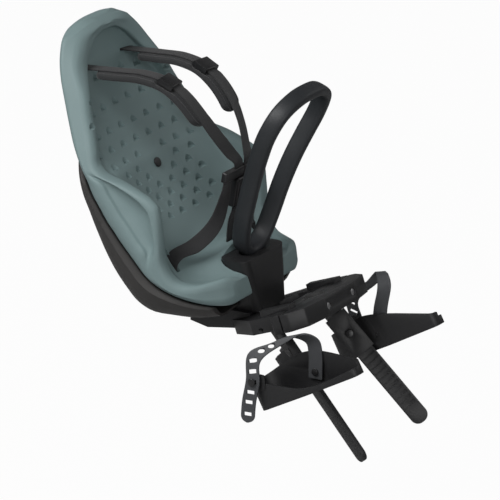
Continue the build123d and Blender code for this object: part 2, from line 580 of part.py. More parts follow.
# Foot straps: rubber ladder straps from the inner wall over the instep to the stud
strap_end = [(139, 20, -40), (stud_at.X + STRAP_T / 2 + GAP, stud_at.Y, stud_at.Z), (149, 22, -100), (150, 24, -131)]
low_path = [(91.5, -50, -72), (91.5, -50, -56), (92, -50, -38), (94, -46, -18), (104, -31, -9), (120, -6, -20)] + strap_end
high_path = [(91.5, -50, -72), (91.5, -50, -56), (92, -52, -25), (94, -56, 12), (104, -47, 22), (124, -20, -2)] + strap_end
strap_across = across(STRAP_W, (0, -1, 0), (0, -1, 0), (0, -1, 0.1), (0, -1, 0.3), (-0.2, -0.9, 0.3), (-0.3, -0.9, 0.1), (0, -1, -0.3), (0, -1, -0.1), (0, -1, 0), (0, -1, 0))
anchor_point = Vector(91.5, -50, -62)
rivet_pair = {}
for name, path in (("left", high_path), ("right", low_path)):
    strap = ribbon(path, strap_across, STRAP_T)
    line = Edge.make_spline([Vector(*p) for p in path])
    shares = [i / 400 for i in range(401)]
    distances = [(line @ s - stud_at).length for s in shares]
    stud_share = shares[distances.index(min(distances))]
    strap -= rod(stud_at - Vector(20, 0, 0), stud_at + Vector(20, 0, 0), STUD_R + GAP)
    for k in (-4, -3, -2, -1, 1, 2, 3):
        share = stud_share + k * STRAP_PITCH / line.length
        through = (line % share).cross(Vector(0, -1, 0)).normalized() * 3 * STRAP_T
        strap -= rod(line @ share - through, line @ share + through, STRAP_HOLE_R)
    anchor = rod((84.5, anchor_point.Y, anchor_point.Z), (94, anchor_point.Y, anchor_point.Z), 2.2) + rod((93.3, anchor_point.Y, anchor_point.Z), (95.3, anchor_point.Y, anchor_point.Z), 5)
    strap -= rod((80, anchor_point.Y, anchor_point.Z), (100, anchor_point.Y, anchor_point.Z), 2.2 + GAP)
    keep = (lambda shape: shape) if name == "left" else flip
    save("foot_strap_" + name, keep(strap))
    save("strap_rivet_" + name, keep(anchor))
    print("strap", name, len(strap.solids()), strap.is_valid, strap.volume)
cup -= rod((80, anchor_point.Y, anchor_point.Z), (100, anchor_point.Y, anchor_point.Z), 2.2 + GAP)
save_pair("foot_cup", cup)

# Harness: webbing from anchors behind the shell and under the pad to the buckle
lean_b = radians(BUCKLE_TILT)
buckle = Plane(origin=(0, BUCKLE_Y, BUCKLE_Z), x_dir=(1, 0, 0), z_dir=(0, -sin(lean_b), cos(lean_b)))
half_h = HOUSING_H / 2
tongue_top = half_h + GAP + TONGUE_H


def in_buckle(x, v):
    return tuple(buckle.from_local_coords((x, 0, v)))


def pocket(plane, x, width, low, high):
    return block(plane, (x - width / 2 - GAP, x + width / 2 + GAP), (-WEB_T / 2 - 0.5, WEB_T / 2 + 0.5), (low, high))


shoulder_path = [(SHOULDER_X, behind_back + ANCHOR_T - 1, SHOULDER_Z), (SHOULDER_X, behind_back - 20, SHOULDER_Z), (55, 285, 310), (52, 240, 311)]
shoulder_path += [(49, 206, 303), (47, 182, 287), (44, 160, 263), (35, 140, 233), (22, 125, 206), in_buckle(TONGUE_X, tongue_top + 6), in_buckle(TONGUE_X, half_h + 5)]
shoulder_across = across(WEB_WIDTH, *[(1, 0, 0)] * 6, (1, 0, -0.15), (1, 0, -0.4), (1, 0, -0.35), (1, 0, 0), (1, 0, 0))
hip_path = [(HIP_X, HIP_Y, hip_bar_top - ANCHOR_BAR + 2), (HIP_X, HIP_Y, hip_floor + 5), (HIP_X, HIP_Y, hip_top + 4), (101, 168, 70), (76, 152, 81), (52, 134, 106)]
hip_path += [in_buckle(TONGUE_WING_X + 2, -half_h + 18), in_buckle(TONGUE_WING_X, half_h - 6), in_buckle(TONGUE_WING_X, half_h + 10)]
hip_across = across(WEB_WIDTH, (0, -1, 0), (0, -1, 0), (0, -1, 0), (0.25, -1, 0.1), (0.7, -0.75, 0.6), (0.85, -0.35, 0.5), (1, -0.1, 0.15), (1, 0, 0), (1, 0, 0))
crotch_path = [(0, CROTCH_Y, crotch_bar_top - ANCHOR_BAR + 2), (0, CROTCH_Y, crotch_floor + 30), (0, CROTCH_Y, 84), (0, CROTCH_Y - 3, 105), in_buckle(0, -half_h - 8), in_buckle(0, -half_h + 8)]
shoulder = ribbon(shoulder_path, shoulder_across, WEB_T)
hip = ribbon(hip_path, hip_across, WEB_T)
crotch = ribbon(crotch_path, across(WEB_WIDTH, *[(1, 0, 0)] * 6), WEB_T)


def strap_room(path, widths):
    """The space a strap needs where it runs through another piece."""
    return ribbon(path, [w * 1.05 for w in widths], WEB_T + 2 * GAP)


shoulder_room = strap_room(shoulder_path, shoulder_across)
hip_room = strap_room(hip_path, hip_across)
crotch_room = strap_room(crotch_path, across(WEB_WIDTH, *[(1, 0, 0)] * 6))
save("seat_pad", pad - hip_room - flip(hip_room))
save_pair("shoulder_strap", shoulder)
save_pair("hip_strap", hip)
save("crotch_strap", crotch)

anchors = []
shoulder_bar = Pos(SHOULDER_X, behind_back + ANCHOR_T / 2, SHOULDER_Z) * Box(WEB_WIDTH + 2 * ANCHOR_SIDE, ANCHOR_T, 2 * ANCHOR_BAR - 4)
shoulder_bar -= Pos(SHOULDER_X, behind_back, SHOULDER_Z) * Box(WEB_WIDTH + 2 * GAP, 2 * ANCHOR_T - 1, WEB_T + 1)
hip_bar = Pos(HIP_X, HIP_Y, hip_bar_top - ANCHOR_BAR / 2) * Box(ANCHOR_T, WEB_WIDTH + 2 * ANCHOR_SIDE, ANCHOR_BAR)
hip_bar -= Pos(HIP_X, HIP_Y, hip_bar_top) * Box(WEB_T + 3.6, WEB_WIDTH + 2 * GAP, 2 * ANCHOR_BAR - 2)
hip_bar -= hip_room
crotch_bar = Pos(0, CROTCH_Y, crotch_bar_top - ANCHOR_BAR / 2) * Box(WEB_WIDTH + 2 * ANCHOR_SIDE, ANCHOR_T, ANCHOR_BAR)
crotch_bar -= Pos(0, CROTCH_Y, crotch_bar_top) * Box(WEB_WIDTH + 2 * GAP, WEB_T + 1, 2 * ANCHOR_BAR - 2)
save("strap_anchors", shoulder_bar, flip(shoulder_bar), hip_bar, flip(hip_bar), crotch_bar)

# Shoulder pads under the webbing and the adjusters that ride on it
def offset_path(path, widths, distance):
    moved = []
    for i in range(len(path)):
        a, b = Vector(*path[max(i - 1, 0)]), Vector(*path[min(i + 1, len(path) - 1)])
        normal = (b - a).cross(widths[i]).normalized()
        normal = normal if normal.Z < 0 or normal.Y > 0.3 else -normal
        moved.append(tuple(Vector(*path[i]) + normal * distance))
    return moved


pad_path = [(55, 316, 309), (54.5, 285, 310), (52, 240, 311), (49, 206, 303), (47, 182, 287), (45, 166, 270)]
pad_across = across(SHOULDER_PAD_WIDTH, *[(1, 0, 0)] * 6)
under = WEB_T / 2 + SHOULDER_PAD_T / 2 + 0.7
shoulder_pad = ribbon(offset_path(pad_path, pad_across, under), pad_across, SHOULDER_PAD_T)
lock_at, lock_next = Vector(49.6, 213, 306), Vector(48.4, 199, 299.3)
lock_plane = Plane(origin=(lock_at + lock_next) / 2, x_dir=(1, 0, 0), z_dir=(lock_next - lock_at))
lock_half_w = WEB_WIDTH / 2 + 1 + ADJUSTER_WALL
lock_half_t = WEB_T / 2 + 1 + 2.2
lock = block(lock_plane, (-lock_half_w, lock_half_w), (-lock_half_t, lock_half_t), (-ADJUSTER_LENGTH / 2, ADJUSTER_LENGTH / 2))
lock = fillet([e for e in lock.edges() if abs((e % 0.5).dot(lock_plane.x_dir)) > 0.99], 1.5)
lock_room = block(lock_plane, (-lock_half_w - 1, lock_half_w + 1), (-lock_half_t - 0.6, lock_half_t + 0.6), (-ADJUSTER_LENGTH / 2 - 1, ADJUSTER_LENGTH / 2 + 1))
wide_strap = ribbon(shoulder_path[:9], [w * 1.06 for w in shoulder_across[:9]], WEB_T + 1.6)
lock -= wide_strap
shoulder_pad = shoulder_pad - lock_room - wide_strap
save_pair("shoulder_pad", shoulder_pad)
save_pair("strap_adjuster", lock)
print("harness", len(shoulder.solids()), len(hip.solids()), len(crotch.solids()), "pad", len(shoulder_pad.solids()), "lock", len(lock.solids()))

# Buckle: housing with a push button and two tongues that carry the straps
housing = block(buckle, (-HOUSING_W / 2, HOUSING_W / 2), (-HOUSING_D / 2, HOUSING_D / 2), (-half_h, half_h))
housing = fillet(housing.edges(), 4)
tongue = block(buckle, (1, TONGUE_WING_X + TONGUE_W / 2), (-TONGUE_D / 2, TONGUE_D / 2), (half_h + GAP, tongue_top))
tongue = fillet(tongue.edges(), 2)
blade = block(buckle, (BLADE_X - BLADE_W / 2, BLADE_X + BLADE_W / 2), (-BLADE_T / 2, BLADE_T / 2), (half_h - BLADE_L, half_h + 5))
tongue += blade
tongue -= pocket(buckle, TONGUE_X - 0.5, WEB_WIDTH, half_h + 4, tongue_top + 5)
tongue -= pocket(buckle, TONGUE_WING_X, WEB_WIDTH, half_h - 5, half_h + 11)
tongue = tongue - shoulder_room - hip_room
for side in (-1, 1):
    mouth = (side * BLADE_X - BLADE_W / 2 - GAP, side * BLADE_X + BLADE_W / 2 + GAP)
    housing -= block(buckle, mouth, (-BLADE_T / 2 - GAP, BLADE_T / 2 + GAP), (half_h - BLADE_L - GAP, half_h + 5))
housing -= pocket(buckle, 0, WEB_WIDTH, -half_h - 5, -half_h + 9)
housing -= crotch_room
push_plane = Plane(origin=buckle.from_local_coords((0, -HOUSING_D / 2, -4)), x_dir=(1, 0, 0), z_dir=-buckle.y_dir)
push = push_plane * Pos(0, 0, PUSH_PROUD - PUSH_L / 2) * Cylinder(PUSH_R, PUSH_L)
push = fillet(push.edges().sort_by(Axis.Y)[0], 1.2)
housing -= push_plane * Pos(0, 0, PUSH_PROUD - PUSH_L - PUSH_TRAVEL - GAP + 10) * Cylinder(PUSH_R + GAP, 20)
save("buckle_housing", housing)
save("buckle_button", push)
save_pair("buckle_tongue", tongue)
print("buckle", len(housing.solids()), len(tongue.solids()), len(push.solids()))
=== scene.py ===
from collections import namedtuple
from math import cos, pi, radians, sin, sqrt

import bpy
import numpy as np
from mathutils import Matrix, Vector


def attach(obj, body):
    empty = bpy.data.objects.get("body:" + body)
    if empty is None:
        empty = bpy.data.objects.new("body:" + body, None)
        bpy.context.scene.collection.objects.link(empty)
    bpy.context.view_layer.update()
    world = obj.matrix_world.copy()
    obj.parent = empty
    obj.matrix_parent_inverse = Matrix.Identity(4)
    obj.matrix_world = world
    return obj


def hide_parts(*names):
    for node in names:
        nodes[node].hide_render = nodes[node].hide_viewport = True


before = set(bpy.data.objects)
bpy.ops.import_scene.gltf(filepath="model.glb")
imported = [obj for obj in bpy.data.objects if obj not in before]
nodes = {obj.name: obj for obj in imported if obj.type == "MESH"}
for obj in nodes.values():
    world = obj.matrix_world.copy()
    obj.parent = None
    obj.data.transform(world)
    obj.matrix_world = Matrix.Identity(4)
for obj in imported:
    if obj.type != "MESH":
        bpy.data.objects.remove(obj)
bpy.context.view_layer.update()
scene = bpy.context.scene
scene.view_settings.view_transform = "Standard"

# Studio: a white sweep under and behind the seat. A large soft lamp stands high behind the right side, so
# that the rim is bright and the inside falls into shade, with a broad lamp in front and a weak one on the
# left. The camera stands six metres away and two metres above the clamp, with a long lens.
CAMERA_AT = (-5.0176, -2.7725, 1.9873)
CAMERA_AIM = (0.0, 0.1062, 0.0612)
LENS = 314.8
SENSOR = 36
CLIP_END = 60
FLOOR_Z = -0.42
SWEEP_WIDTH = 36.0
SWEEP_FRONT = 27.0
SWEEP_BACK = 3.2
SWEEP_BEND = 1.5
SWEEP_HEIGHT = 7.0
SWEEP_ROWS = 24
SWEEP_TURN = -60
PAPER = (0.45, 0.45, 0.45, 1)
PAPER_ROUGH = 0.9
PAPER_GLOW = 0.97
WHITE = (1, 1, 1, 1)
WORLD_GLOW = 0.17
LAMP_AIM = (0, 0.12, 0.12)
# Name, place, size in metres and power in watts
LAMPS = [
    ("key", (-2.1, 1.0, 2.6), 2.0, 90),
    ("front", (-3.2, -3.6, 1.6), 3.0, 60),
    ("side", (2.8, -1.5, 1.8), 2.0, 10),
]


def only(obj):
    """Leaves one object selected and active."""
    bpy.ops.object.select_all(action="DESELECT")
    obj.select_set(True)
    bpy.context.view_layer.objects.active = obj


def settle(obj):
    """Puts an object's place into its mesh."""
    only(obj)
    bpy.ops.object.transform_apply(location=True, rotation=True, scale=True)


def look(place, aim):
    """The turn that points a camera or a lamp at a spot."""
    return (Vector(aim) - Vector(place)).to_track_quat("-Z", "Y").to_euler()


class Dye:
    """One shader socket. Arithmetic on it adds Math nodes, and add() brings in any other node."""

    def __init__(self, tree, socket=None):
        self.tree = tree
        self.socket = socket

    def add(self, kind, settings, sockets, output=0):
        node = self.tree.nodes.new("ShaderNode" + kind)
        for name, value in settings.items():
            setattr(node, name, value)
        for name, value in sockets.items():
            self.join(node.inputs[name], value)
        return Dye(self.tree, node.outputs[output])

    def join(self, slot, value):
        if isinstance(value, Dye):
            self.tree.links.new(value.socket, slot)
        else:
            slot.default_value = value

    def maths(self, operation, left, right=0.0):
        return self.add("Math", {"operation": operation}, {0: left, 1: right})

    def __add__(self, other):
        return self.maths("ADD", self, other)

    def __radd__(self, other):
        return self.maths("ADD", other, self)

    def __sub__(self, other):
        return self.maths("SUBTRACT", self, other)

    def __rsub__(self, other):
        return self.maths("SUBTRACT", other, self)

    def __mul__(self, other):
        return self.maths("MULTIPLY", self, other)

    def __rmul__(self, other):
        return self.maths("MULTIPLY", other, self)

    def __abs__(self):
        return self.maths("ABSOLUTE", self)


def blank(name):
    """A new material, its nodes to be added to, and its surface shader."""
    material = bpy.data.materials.new(name)
    material.use_nodes = True
    return material, Dye(material.node_tree), material.node_tree.nodes["Principled BSDF"]


bpy.ops.object.select_all(action="DESELECT")
bpy.ops.mesh.primitive_grid_add(x_subdivisions=2, y_subdivisions=SWEEP_ROWS, size=1)
sweep = bpy.context.object
sweep.name = "studio_sweep"
# The first third of the sheet is floor, the second bends up and the last is wall.
for vertex in sweep.data.vertices:
    along = (vertex.co.y + 0.5) * 3
    floor = max(1 - along, 0)
    bend = min(max(along - 1, 0), 1) * pi / 2
    wall = max(along - 2, 0)
    back = SWEEP_BACK + SWEEP_BEND * sin(bend) - floor * SWEEP_FRONT
    height = FLOOR_Z + SWEEP_BEND * (1 - cos(bend)) + wall * SWEEP_HEIGHT
    vertex.co = (vertex.co.x * SWEEP_WIDTH, back, height)
sweep.rotation_euler = (0, 0, radians(SWEEP_TURN))
settle(sweep)
bpy.ops.object.shade_smooth()
paper, dye, shader = blank("white_paper")
rays = dye.add("LightPath", {}, {}, "Is Camera Ray")
shader.inputs["Base Color"].default_value = PAPER
shader.inputs["Roughness"].default_value = PAPER_ROUGH
glow = dye.add("Emission", {}, {"Color": WHITE, "Strength": 1.0})
blended = dye.add("MixShader", {}, {0: rays * PAPER_GLOW, 1: Dye(dye.tree, shader.outputs[0]), 2: glow})
dye.join(dye.tree.nodes["Material Output"].inputs["Surface"], blended)
sweep.data.materials.append(paper)

bpy.ops.object.camera_add(location=CAMERA_AT)
camera = bpy.context.object
camera.rotation_euler = look(CAMERA_AT, CAMERA_AIM)
camera.data.lens = LENS
camera.data.sensor_width = SENSOR
camera.data.clip_end = CLIP_END
scene.camera = camera

for name, place, size, power in LAMPS:
    bpy.ops.object.light_add(type="AREA", location=place)
    lamp = bpy.context.object
    lamp.name = name + "_lamp"
    lamp.data.size = size
    lamp.data.energy = power
    lamp.rotation_euler = look(place, LAMP_AIM)
world = bpy.data.worlds.new("studio")
scene.world = world
world.use_nodes = True
sky = world.node_tree.nodes["Background"].inputs
sky["Color"].default_value = WHITE
sky["Strength"].default_value = WORLD_GLOW

# Steerer clamp: two cast halves drawn together round a rubber shim by two bolts with nuts. The
# halves are powder coated a satin black with a fine orange-peel grain.
PATCHES = 14.0
ROUGH_SPREAD = 0.16
SCRATCHES = 900.0
WELD = 0.00002
FLAT_WITHIN = 1.0
EASE_ANGLE = 34


def modify(obj, kind, **settings):
    """Adds a modifier and applies it."""
    only(obj)
    modifier = obj.modifiers.new(kind.lower(), kind)
    for name, value in settings.items():
        setattr(modifier, name, value)
    bpy.ops.object.modifier_apply(modifier=modifier.name)


def mixed(dye, share, first, second):
    """A colour between two colours."""
    return dye.add("Mix", {"data_type": "RGBA"}, {0: share, 6: first, 7: second}, 2)


def grained(name, light, dark, rough, grain, depth):
    """Moulded or coated surface: two close tones in soft patches and a fine grain."""
    material, dye, shader = blank(name)
    place = dye.add("TexCoord", {}, {}, "Object")
    clouds = dye.add("TexNoise", {}, {"Vector": place, "Scale": PATCHES, "Detail": 4.0})
    pits = dye.add("TexNoise", {}, {"Vector": place, "Scale": 1 / grain, "Detail": 2.0})
    tint = mixed(dye, clouds * 0.7 + pits * 0.3, dark, light)
    dye.join(shader.inputs["Base Color"], tint)
    dye.join(shader.inputs["Roughness"], clouds * ROUGH_SPREAD + (rough - ROUGH_SPREAD / 2))
    bump = dye.add("Bump", {}, {"Strength": 0.6, "Distance": depth, "Height": pits})
    dye.join(shader.inputs["Normal"], bump)
    return material


def surface(piece, material, angle=180):
    """Shades a piece smooth except at edges sharper than an angle, and gives it its material."""
    only(piece)
    bpy.ops.object.shade_smooth_by_angle(angle=radians(angle))
    piece.data.materials.clear()
    piece.data.materials.append(material)


def dress(node, body, material, edge):
    """A copy of a CAD piece with its edges eased, shown in the piece's place."""
    source = nodes[node]
    piece = bpy.data.objects.new(node + "_eased", source.data.copy())
    scene.collection.objects.link(piece)
    only(piece)
    bpy.ops.object.mode_set(mode="EDIT")
    bpy.ops.mesh.select_all(action="SELECT")
    bpy.ops.mesh.remove_doubles(threshold=WELD)
    bpy.ops.mesh.dissolve_limited(angle_limit=radians(FLAT_WITHIN))
    bpy.ops.object.mode_set(mode="OBJECT")
    if edge:
        modify(piece, "BEVEL", width=edge, segments=2, limit_method="ANGLE",
               angle_limit=radians(EASE_ANGLE), use_clamp_overlap=True)
    surface(piece, material, EASE_ANGLE)
    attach(piece, body)
    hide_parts(node)
    return piece


def steel(name, tone):
    """Zinc-plated steel with fine scratches."""
    material, dye, shader = blank(name)
    place = dye.add("TexCoord", {}, {}, "Object")
    lines = dye.add("TexNoise", {}, {"Vector": place, "Scale": SCRATCHES, "Detail": 2.0})
    dye.join(shader.inputs["Base Color"], mixed(dye, lines, tone, tuple(0.8 * c for c in tone)))
    dye.join(shader.inputs["Roughness"], lines * 0.2 + 0.25)
    shader.inputs["Metallic"].default_value = 1.0
    return material


coat = grained("satin_powder_coat", (0.020, 0.020, 0.021, 1), (0.012, 0.012, 0.013, 1),
               rough=0.42, grain=0.0009, depth=0.00012)
shim_rubber = grained("shim_rubber", (0.05, 0.05, 0.05, 1), (0.03, 0.03, 0.03, 1),
                      rough=0.75, grain=0.0012, depth=0.0002)
plated = steel("plated_steel", (0.55, 0.55, 0.56, 1))
dress("bracket_front", "seat", coat, 0.0012)
dress("bracket_rear", "seat", coat, 0.0008)
dress("clamp_shim", "seat", shim_rubber, 0.0004)
for node in ("clamp_bolts", "clamp_nuts"):
    dress(node, "seat", plated, 0.0003)

# Carriage: a glass-filled nylon moulding that forks round the clamp and bolts to the shell from
# below. It carries the rails in sockets, and a wire bail hangs in its two rear ears.
nylon = grained("black_nylon", (0.018, 0.018, 0.019, 1), (0.010, 0.010, 0.011, 1),
                rough=0.46, grain=0.0007, depth=0.00016)
dress("mount_carriage", "seat", nylon, 0.001)
for node in ("carriage_bolts", "rail_pins"):
    dress(node, "seat", plated, 0.0003)
dress("release_bail", "bail", plated, 0)

# Seat shell: a thin blow-moulded bowl in black plastic behind and under the pad. It is widest
# under the pan and runs out to a thin edge towards the head.
LAP = Vector((0, 0.110, 0.190))
HALF_WIDTH = 0.153
RIM = 0.024
RIM_MOST = 0.68
HEAD_STARTS = 25
HEAD_BROADENS = 0.0022
HEAD_SWELL = 0.2
HEAD_TUCK = 0.35
PAD_BACK = 0.018
BACK_LEAST = 0.003
SHELL_WALL = 0.0035
SHELL_GAP = 0.0005
SHELL_EASE = 0.0012
SHELL_LIP = 0.0006
SHELL_FROM = -95
SHELL_TO = 27
SHELL_WIDE = 0.93
SHELL_NARROWS = 0.33
NARROWS_FROM = -4
NARROWS_OVER = 22
SHELL_SIDE = 0.84
SHELL_FLAT = 0.5
SIDE_DEPTH = 0.95
SHELL_SMOOTH = 50
BETWEEN = 4
WRAP = 3
# Share of the half width and share of the drop, from the rim's end to the midplane
CROWN = [(0.78, 0.6), (0.58, 0.25), (0.36, 0.06), (0, 0)]
# Angle in degrees, then millimetres: inset of the side, distances from the lap line to the rim's front, the
# rim's rear, the panel on the midplane and the panel beside it, depth of the shell behind the pad, and
# distance to the crease under the wing's flat side if any
Station = namedtuple("Station", "angle inset lip rear inner pan depth crease")
PROFILE = [
    (37.1, 132, 282, 294, 279, 279, 0, 0),
    (36.5, 108, 279, 298, 279, 279, 0, 0),
    (35.2, 87, 275, 302, 277, 277, 0, 0),
    (33.2, 70, 264, 304, 285, 285, 0, 0),
    (30.0, 54, 246, 288, 275, 275, 0, 0),
    (26.0, 42, 218, 266, 262, 262, 1.5, 0),
    (20.0, 30, 196, 238, 231, 231, 1.5, 0),
    (14.0, 20, 178, 217, 201, 201, 3, 0),
    (8.0, 11, 166, 200, 180, 180, 9, 0),
    (2.0, 4, 157, 185, 166, 166, 16, 0),
    (-1.0, 1, 145, 178, 160, 160, 19, 0),
    (-5.0, 0, 115, 171, 153, 153, 22, 146),
    (-12.0, 0, 91, 165, 147, 147, 27, 138),
    (-20.0, 0, 77, 158, 142, 142, 31, 131),
    (-26.0, 0, 72, 155, 140, 140, 34, 128),
    (-32.0, 0, 70, 152, 138, 138, 38, 125),
    (-38.0, 0, 72, 151, 137, 137, 42, 124),
    (-46.0, 0, 79, 151, 138, 138, 47, 125),
    (-54.0, 0, 91, 154, 140, 140, 50, 128),
    (-60.0, 0, 104.5, 158, 140, 143, 51, 0),
    (-66.0, 1, 125, 161, 138, 146, 48, 0),
    (-76.0, 6, 146, 165, 121, 152, 33, 0),
    (-86.0, 18, 147, 170, 120, 152, 23, 0),
    (-93.0, 36, 143, 176, 134, 149, 14, 0),
    (-98.0, 52, 142, 178, 142, 148, 0, 0),
    (-101.0, 68, 151, 174, 151, 151, 0, 0),
]
STATIONS = [Station(row[0], *[value / 1000 for value in row[1:]]) for row in PROFILE]


def fan(angle, x, reach):
    """A point on the plane that turns about the lap line."""
    return (x, LAP.y + reach * cos(radians(angle)), LAP.z + reach * sin(radians(angle)))


def flow(points, closed=False, between=BETWEEN):
    """Points on a smooth line through given ones, a few to each gap."""
    line = np.array(points, float)
    count = len(line)
    if closed:
        line = np.concatenate([line[-WRAP:], line, line[:WRAP + 1]])
    steps = np.linalg.norm(np.diff(line, axis=0).reshape(len(line) - 1, -1), axis=1)
    knots = np.concatenate([[0], np.cumsum(np.maximum(steps, 1e-6))])
    slopes = np.gradient(line, knots, axis=0)
    first = WRAP if closed else 0
    last = first + count if closed else count - 1
    made = []
    for i in range(first, last):
        gap = knots[i + 1] - knots[i]
        for j in range(between):
            s = j / between
            ease = s * s * (3 - 2 * s)
            made.append(line[i] * (1 - ease) + line[i + 1] * ease
                        + gap * (s * (1 - s) ** 2 * slopes[i] - s * s * (1 - s) * slopes[i + 1]))
    if not closed:
        made.append(line[-1])
    return np.array(made)


def loft(name, rings):
    """A closed skin through rings of points: a grid primitive laid over them and closed up."""
    across = np.array([flow(ring, closed=True) for ring in rings])
    skin = flow(across)
    rows, columns = skin.shape[:2]
    bpy.ops.object.select_all(action="DESELECT")
    bpy.ops.mesh.primitive_grid_add(x_subdivisions=columns, y_subdivisions=rows - 1, size=1)
    piece = bpy.context.object
    piece.name = name
    order = np.concatenate([skin, skin[:, :1]], axis=1).reshape(-1, 3)
    piece.data.vertices.foreach_set("co", order.ravel())
    bpy.ops.object.mode_set(mode="EDIT")
    bpy.ops.mesh.select_all(action="SELECT")
    bpy.ops.mesh.remove_doubles(threshold=WELD)
    bpy.ops.mesh.select_all(action="DESELECT")
    bpy.ops.mesh.select_mode(type="EDGE")
    bpy.ops.mesh.select_non_manifold()
    bpy.ops.mesh.edge_face_add()
    bpy.ops.mesh.select_all(action="SELECT")
    bpy.ops.mesh.normals_make_consistent(inside=False)
    bpy.ops.object.mode_set(mode="OBJECT")
    return piece


def mirrored(half):
    """A closed ring from the points of its right half, which starts and ends on the midplane."""
    return half + [(-x, y, z) for x, y, z in reversed(half[1:-1])]


def rim_size(station):
    """Half width of the pad and width of its rim, which broadens round the head."""
    width = HALF_WIDTH - station.inset
    broad = RIM + HEAD_BROADENS * max(0, station.angle - HEAD_STARTS)
    return width, min(broad, RIM_MOST * width)


def underside(station):
    """The pad's back face from the rim to the midplane, as distances across and from the lap line."""
    width, rim = rim_size(station)
    nose = min(rim, RIM)
    broader = rim - nose
    back = max(station.pan + PAD_BACK, station.rear + BACK_LEAST + HEAD_SWELL * broader)
    edge = station.rear + 0.1 * nose - HEAD_TUCK * broader
    drop = back - edge
    crown = [(across * width, back - down * drop) for across, down in CROWN]
    return [(width - 0.4 * nose, edge)] + crown


def behind(station, share):
    """Distance of the pad's back face from the lap line at a share of the half width."""
    points = underside(station)
    x = share * (HALF_WIDTH - station.inset)
    for (x1, r1), (x2, r2) in zip(points, points[1:]):
        if x2 <= x <= x1:
            return r2 + (r1 - r2) * (x - x2) / (x1 - x2)
    return points[0][1]


def shell_ring(station):
    """Outline of the shell on one fan plane: its inner face out to the edge, then its outer face."""
    depth = station.depth + SHELL_GAP
    narrowing = min(1, max(0, (station.angle - NARROWS_FROM) / NARROWS_OVER))
    share = SHELL_WIDE - SHELL_NARROWS * narrowing
    edge_x = share * (HALF_WIDTH - station.inset)
    side_x = SHELL_SIDE * edge_x
    flat_x = SHELL_FLAT * edge_x
    edge = behind(station, share) + SHELL_GAP + SHELL_EASE
    side = behind(station, SHELL_SIDE * share) + SIDE_DEPTH * depth + SHELL_EASE
    flat = behind(station, SHELL_FLAT * share) + depth
    back = behind(station, 0) + depth
    half = [
        (0, back),
        (flat_x, flat),
        (side_x, side),
        (edge_x, edge),
        (edge_x + SHELL_WALL, edge + SHELL_LIP),
        (side_x + 0.5 * SHELL_WALL, side + SHELL_WALL),
        (flat_x, flat + SHELL_WALL),
        (0, back + SHELL_WALL),
    ]
    return mirrored([fan(station.angle, x, r) for x, r in half])


def box_cutter(low, high):
    """A plain block to cut a slot with."""
    bpy.ops.object.select_all(action="DESELECT")
    middle = (Vector(low) + Vector(high)) / 2
    bpy.ops.mesh.primitive_cube_add(size=1, location=middle, scale=Vector(high) - Vector(low))
    block = bpy.context.object
    settle(block)
    return block


def joined(pieces):
    """Makes several objects one."""
    only(pieces[0])
    for piece in pieces:
        piece.select_set(True)
    bpy.ops.object.join()
    return bpy.context.object


def carve(piece, cutters):
    """Cuts a list of shapes out of a piece and removes them."""
    tool = joined(cutters)
    modify(piece, "BOOLEAN", object=tool, operation="DIFFERENCE", solver="EXACT")
    bpy.data.objects.remove(tool)


SLOT_X = 0.056
SLOT_Z = 0.307
SLOT_FRONT = 0.285
SLOT_REAR = 0.42
SLOT_HALF = 0.0122
SLOT_GAP = 0.0021


def shoulder_slots():
    """Cutters for the two slots that the shoulder straps come through."""
    bottom = SLOT_Z - SLOT_GAP
    top = SLOT_Z + SLOT_GAP
    return [box_cutter((x - SLOT_HALF, SLOT_FRONT, bottom), (x + SLOT_HALF, SLOT_REAR, top))
            for x in (-SLOT_X, SLOT_X)]


# Half width, middle and height of the handle base at its foot and its top
BASE_FOOT = (0.040, 0.090, -0.014)
BASE_TOP = (0.057, 0.103, 0.062)
BASE_HALF_DEPTH = 0.022
BASE_ROUND = 0.012
BASE_GAP = 0.0005


def base_room(above=0.0):
    """Room for the handle base: a block that widens upwards and leans back, with rounded corners."""
    foot, top = Vector(BASE_FOOT), Vector(BASE_TOP)
    top = foot + (top - foot) * ((top.z + above - foot.z) / (top.z - foot.z))
    bpy.ops.object.select_all(action="DESELECT")
    bpy.ops.mesh.primitive_cube_add(size=2)
    block = bpy.context.object
    block.name = "base_room"
    for vertex in block.data.vertices:
        half, middle, height = top if vertex.co.z > 0 else foot
        vertex.co.z = height + BASE_GAP * vertex.co.z
        vertex.co.x *= half + BASE_GAP
        vertex.co.y = middle + vertex.co.y * (BASE_HALF_DEPTH + BASE_GAP)
    bpy.ops.object.mode_set(mode="EDIT")
    bpy.ops.mesh.select_mode(type="EDGE")
    bpy.ops.mesh.select_all(action="DESELECT")
    bpy.ops.object.mode_set(mode="OBJECT")
    for edge in block.data.edges:
        one, other = [block.data.vertices[i].co.z for i in edge.vertices]
        edge.select = abs(one - other) > BASE_ROUND
    bpy.ops.object.mode_set(mode="EDIT")
    bpy.ops.mesh.bevel(offset=BASE_ROUND, segments=6)
    bpy.ops.object.mode_set(mode="OBJECT")
    return block


shell_plastic = grained("shell_plastic", (0.043, 0.040, 0.038, 1), (0.026, 0.025, 0.024, 1),
                        rough=0.58, grain=0.0010, depth=0.00018)
shell = loft("shell_bowl", [shell_ring(s) for s in STATIONS if SHELL_FROM < s.angle < SHELL_TO])
carve(shell, shoulder_slots() + [base_room()])
surface(shell, shell_plastic, SHELL_SMOOTH)
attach(shell, "seat")
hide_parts("seat_shell")

